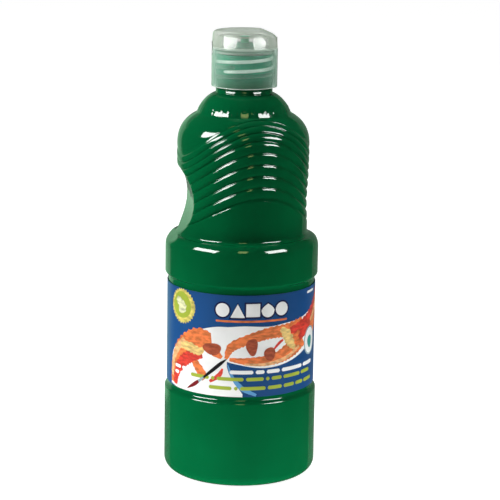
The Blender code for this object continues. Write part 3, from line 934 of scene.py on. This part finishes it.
def closure_piece(name, skins, materials, choose, body):
    """A closure part with the hinge pocket cut from its first skin, turned to the closure's facing.

    choose gives a face's material from its middle's radius and height, and its normal.
    """
    cutter = pocket_cutter()
    points, faces = skins[0]
    made = piece(name, points, faces, materials[0], body)
    made.parent = None
    modifier = made.modifiers.new("cut", "BOOLEAN")
    modifier.operation = "DIFFERENCE"
    modifier.solver = "EXACT"
    modifier.object = cutter
    mesh = bpy.data.meshes.new_from_object(made.evaluated_get(bpy.context.evaluated_depsgraph_get()))
    made.modifiers.clear()
    bm = bmesh.new()
    bm.from_mesh(mesh)
    for points, faces in skins[1:]:
        verts = [bm.verts.new(p) for p in points]
        for face in faces:
            bm.faces.new([verts[i] for i in face])
    bmesh.ops.transform(bm, matrix=Matrix.Rotation(CAP_FACING, 4, "Z"), verts=bm.verts)
    bmesh.ops.recalc_face_normals(bm, faces=bm.faces)
    bm.to_mesh(mesh)
    bm.free()
    made.data = mesh
    for material in materials[1:]:
        mesh.materials.append(material)
    for face in mesh.polygons:
        face.material_index = choose(face.center.xy.length, face.center.z, face.normal)
    mesh.polygons.foreach_set("use_smooth", [True] * len(mesh.polygons))
    mesh.set_sharp_from_angle(angle=math.radians(34))
    bpy.data.objects.remove(cutter)
    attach(made, body)
    return made


def build_cap_base():
    """The threaded skirt, its deck and the dispensing spout."""
    corners = [(CAP_R, SEAM_Z), (CAP_R, CAP_FOOT_Z), (CAP_BORE_R, CAP_FOOT_Z), (CAP_BORE_R, 189.9 * MM),
               (SEAL_R, 190.4 * MM), (SEAL_R, DECK_UNDER_Z), (ORIFICE_R, DECK_UNDER_Z),
               (ORIFICE_R, SPOUT_TOP_Z), (SPOUT_R, SPOUT_TOP_Z), (SPOUT_R + 0.2 * MM, SEAM_Z + 0.6 * MM),
               (SPOUT_R + 0.8 * MM, SEAM_Z)]
    base = looped_skin([circle_row(r, z) for r, z in rounded(corners, 0.3 * MM)])
    start_z = THREAD_START_Z + PITCH * (CAP_THREAD_START - THREAD_START) / TURN - PITCH / 2
    ridge = helix(CAP_THREAD_START - CAP_FACING, start_z, CAP_THREAD_TURNS, CAP_BORE_R, CAP_CREST_R)
    wall = cap_material("natural_polypropylene_base", (0.33, 0.54, 0.42), 0.15, 0.86)
    # The rim material is a painted highlight: a pale, nearly opaque line along the skirt's foot and top edge.
    rim = cap_material("natural_polypropylene_rim_painted_highlight", (0.85, 0.95, 0.86), 0.85, 0.97)
    spout = cap_material("paint_stained_spout", (0.12, 0.42, 0.29), 0.6, 0.9)

    def choose(radius, height, normal):
        if radius < SPOUT_R + 0.6 * MM and height > SEAM_Z:
            return 2
        # The foot and the top edge get the painted highlight line.
        foot = height < CAP_FOOT_Z + 0.35 * MM
        top_edge = abs(height - SEAM_Z) < 0.2 * MM and radius > CAP_R - 1 * MM
        return 1 if foot or top_edge else 0

    made = closure_piece("closure_base", [base, ridge], [wall, rim, spout], choose, "cap")
    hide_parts("cap_base")


def lowered_for_thumb(row):
    """A row of the lid's top with the thumb facet at +X pressed down into it, its start softened."""
    past = row[:, 0] - FACET_START
    soft = 0.8 * MM
    ramp = np.where(past > soft, past, np.where(past > -soft, (past + soft) ** 2 / (4 * soft), 0.0))
    row[:, 2] -= ramp * math.tan(FACET_SLOPE) * np.clip((row[:, 2] - LID_CEILING_Z) / (1.2 * MM), 0, 1)
    return row


def build_cap_lid():
    """The flip lid, with the pin that plugs the spout under its top."""
    edge = 1.9 * MM
    top = [(0.1 * MM + (LID_TOP_R - edge) * t, LID_TOP_Z) for t in np.linspace(0, 0.98, 16)]
    top += arc(LID_TOP_R - edge, LID_TOP_Z - edge, edge, edge, 90, 0, 12)
    under = rounded([(LID_TOP_R, LID_TOP_Z - edge), (CAP_R - 0.1 * MM, LID_FOOT_Z),
                     (LID_BORE_R + 0.9 * MM, LID_FOOT_Z), (LID_BORE_R - 1.1 * MM, LID_CEILING_Z),
                     (PIN_R + 0.8 * MM, LID_CEILING_Z), (PIN_R, LID_CEILING_Z - 0.8 * MM),
                     (PIN_R, PIN_TIP_Z + 0.4 * MM), (PIN_R - 0.5 * MM, PIN_TIP_Z), (0.1 * MM, PIN_TIP_Z)],
                    0.25 * MM, closed=False)
    rows = [lowered_for_thumb(circle_row(r, z)) for r, z in top]
    rows += [circle_row(r, z) for r, z in under[1:]]
    shell = closed_skin(rows, first=(0, 0, LID_TOP_Z), last=(0, 0, PIN_TIP_Z))
    wall = cap_material("natural_polypropylene_lid", (0.52, 0.61, 0.5), 0.2, 0.88)
    inside = cap_material("natural_polypropylene_inside", (0.5, 0.62, 0.5), 0.12, 0.8)
    side = cap_material("natural_polypropylene_side", (0.52, 0.61, 0.5), 0.3, 0.88,
                        ior=1.55, roughness=0.1, grain=0.0004, lean=0.344)
    # The edge material is a painted highlight: a pale, nearly opaque line along the lid's foot at the seam.
    rim = cap_material("natural_polypropylene_edge_painted_highlight", (0.8, 0.9, 0.81), 0.8, 0.95)
    pin = cap_material("paint_stained_pin", (0.14, 0.6, 0.4), 0.95, 0.97)

    def choose(radius, height, normal):
        if radius < PIN_R + 0.4 * MM and height < LID_CEILING_Z:
            return 2
        # The lid's foot gets the painted highlight line.
        if height < LID_FOOT_Z + 0.25 * MM:
            return 4
        if height > LID_CEILING_Z or abs(normal.z) > 0.6:
            return 0
        return 1 if radius < LID_BORE_R + 1.2 * MM else 3

    made = closure_piece("closure_lid", [shell], [wall, inside, pin, side, rim], choose, "lid")
    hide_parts("cap_lid")


def build_hinge():
    """Three moulded straps that dip towards the seam, thinnest where they fold."""
    plastic = cap_material("natural_polypropylene_strap", (0.42, 0.5, 0.42), 0.6, 0.9)
    for name, offset in STRAPS.items():
        low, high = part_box(name)[0][2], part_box(name)[1][2]
        rows = []
        for t in np.linspace(-1, 1, 29):
            dip = 0.16 * MM * (1 - t * t)
            half = (0.15 - 0.05 * math.exp(-(t * 4) ** 2)) * MM
            width = (0.75 - 0.12 * (1 - t * t)) * MM
            x, z = -HINGE_OUT + dip, (low + high) / 2 + t * (high - low) / 2
            rows.append([(x + sx * half, offset + sy * width, z)
                         for sx, sy in ((-1, -1), (-1, 1), (1, 1), (1, -1))])
        points, faces = closed_skin(rows)
        strap = piece(name + "_moulded", points, faces, plastic, "cap")
        strap.parent = None
        strap.data.transform(Matrix.Rotation(CAP_FACING, 4, "Z"))
        strap.data.set_sharp_from_angle(angle=math.radians(40))
        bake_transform(strap)
        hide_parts(name)


def build_liner():
    """The washer that seals the closure on the bottle's mouth."""
    low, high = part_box("cap_liner")[0][2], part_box("cap_liner")[1][2]
    corners = [(12.9 * MM, high), (12.9 * MM, low), (4.5 * MM, low), (4.5 * MM, high)]
    points, faces = looped_skin([circle_row(r, z) for r, z in rounded(corners, 0.12 * MM)])
    liner = piece("foam_liner", points, faces, foam_material(), "liner")
    liner.data.set_sharp_from_angle(angle=math.radians(50))
    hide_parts("cap_liner")


def build_stage():
    """A white floor that stays out of the gloss, under a sky that is white behind the bottle."""
    material, nodes, links, shader = shader_material("studio_floor", (0.5, 0.5, 0.5), 0.7)
    shader.inputs["Emission Color"].default_value = (FLOOR_LIFT, FLOOR_LIFT, FLOOR_LIFT, 1.0)
    links.new(nodes.new("ShaderNodeLightPath").outputs["Is Camera Ray"], shader.inputs["Emission Strength"])
    bpy.ops.mesh.primitive_plane_add(size=12.0, location=(0, 0, -0.0002))
    floor = bpy.context.object
    floor.name = "studio_floor"
    floor.data.materials.append(material)
    floor.visible_glossy = False
    world = bpy.data.worlds.new("studio_world")
    world.use_nodes = True
    nodes, links = world.node_tree.nodes, world.node_tree.links
    seen = nodes["Background"]
    seen.inputs["Color"].default_value = (1.0, 1.0, 1.0, 1.0)
    lighting = nodes.new("ShaderNodeBackground")
    lighting.inputs["Color"].default_value = (1.0, 1.0, 1.0, 1.0)
    lighting.inputs["Strength"].default_value = SKY
    rays = nodes.new("ShaderNodeLightPath")
    mix = nodes.new("ShaderNodeMixShader")
    links.new(rays.outputs["Is Camera Ray"], mix.inputs[0])
    links.new(lighting.outputs[0], mix.inputs[1])
    links.new(seen.outputs[0], mix.inputs[2])
    links.new(mix.outputs[0], nodes["World Output"].inputs["Surface"])
    bpy.context.scene.world = world
    bpy.context.scene.view_settings.view_transform = "Standard"


def towards(turn, rise):
    """The direction at an angle from the front and an angle above level."""
    return Vector((math.sin(turn) * math.cos(rise), -math.cos(turn) * math.cos(rise), math.sin(rise)))


def build_camera():
    """The camera that took the photograph."""
    back = towards(CAMERA_TURN, CAMERA_RISE)
    right = Vector((math.cos(CAMERA_TURN), math.sin(CAMERA_TURN), 0.0))
    data = bpy.data.cameras.new("photo_camera")
    data.lens = CAMERA_LENS
    data.sensor_width = 36.0
    camera = bpy.data.objects.new("photo_camera", data)
    bpy.context.scene.collection.objects.link(camera)
    turn = Matrix((right, back.cross(right), back)).transposed().to_4x4()
    eye = Vector((0, 0, AIM_Z)) + right * AIM_RIGHT + back * CAMERA_DISTANCE
    camera.matrix_world = Matrix.Translation(eye) @ turn @ Matrix.Rotation(CAMERA_ROLL, 4, "Z")
    bpy.context.scene.camera = camera


def area_light(name, rays, size, radiance, matrix, colour=(1, 1, 1)):
    """A rectangular light that lights the colour of things (rays "diffuse") or their gloss ("glossy")."""
    data = bpy.data.lights.new(name, "AREA")
    data.shape = "RECTANGLE"
    data.size, data.size_y = size
    data.energy = radiance * math.pi * size[0] * size[1]
    data.color = colour
    light = bpy.data.objects.new(name, data)
    bpy.context.scene.collection.objects.link(light)
    light.matrix_world = matrix
    light.visible_camera = False
    light.visible_transmission = False
    light.visible_diffuse = rays == "diffuse"
    light.visible_glossy = rays == "glossy"
    return light


def softbox(name, rays, turn, rise, size, radiance, distance=0.9, colour=(1, 1, 1)):
    """A light aimed at the bottle, its turn in degrees from the camera's side of the bottle."""
    direction = towards(CAMERA_TURN + math.radians(turn), math.radians(rise))
    spot = Matrix.Translation(Vector((0, 0, LIT_Z)) + direction * distance)
    facing = direction.to_track_quat("Z", "Y").to_matrix().to_4x4()
    return area_light(name, rays, size, radiance, spot @ facing, colour)


def linked(light, pieces, state="INCLUDE"):
    """Lets a light reach only some pieces, or all but those."""
    group = bpy.data.collections.new(light.name + "_pieces")
    for name in pieces:
        group.objects.link(bpy.data.objects[name])
    light.light_linking.receiver_collection = group
    for item in group.collection_objects:
        item.light_linking.link_state = state


def build_lights():
    """Lights for the gloss, then lights for the colour."""
    softbox("key_gloss", "glossy", -61, 31, (0.60, 0.30), 40.0)
    softbox("fill_gloss", "glossy", 58, 31, (0.48, 0.28), 36.0)
    overhead = softbox("overhead_gloss", "glossy", 2, 40, (0.22, 0.3), 8.0, 1.1, (0.9, 1.0, 0.35))
    softbox("backdrop_gloss", "glossy", 180, -4, (2.6, 1.5), 0.2, 1.2, (0.75, 1.0, 0.78))
    softbox("left_rim_gloss", "glossy", -152, -2, (0.7, 0.8), 0.5, 1.2, (0.5, 1.0, 0.6))
    softbox("key_colour", "diffuse", -84, 24, (0.5, 0.4), 11.2)
    softbox("fill_colour", "diffuse", 98, 24, (0.5, 0.4), 5.3)
    softbox("top_colour", "diffuse", -4, 84, (0.4, 0.4), 5.6)
    scatter = softbox("closure_colour", "diffuse", -10, 20, (0.5, 0.4), 3.5)
    upward = Matrix.Translation((0.0, -0.02, 0.0006)) @ Matrix.Rotation(math.pi, 4, "X")
    area_light("floor_colour", "diffuse", (0.24, 0.24), 1.65, upward)
    # The milky closure scatters light from every side into itself and the neck within it
    closure = ["closure_base", "closure_lid", *(strap + "_moulded" for strap in STRAPS)]
    linked(scatter, closure + ["bottle_neck"])
    linked(overhead, closure, "EXCLUDE")


build_camera()
build_stage()
build_bottle()
build_neck()
build_paint()
build_label()
build_print()
build_liner()
build_cap_base()
build_cap_lid()
build_hinge()
build_lights()
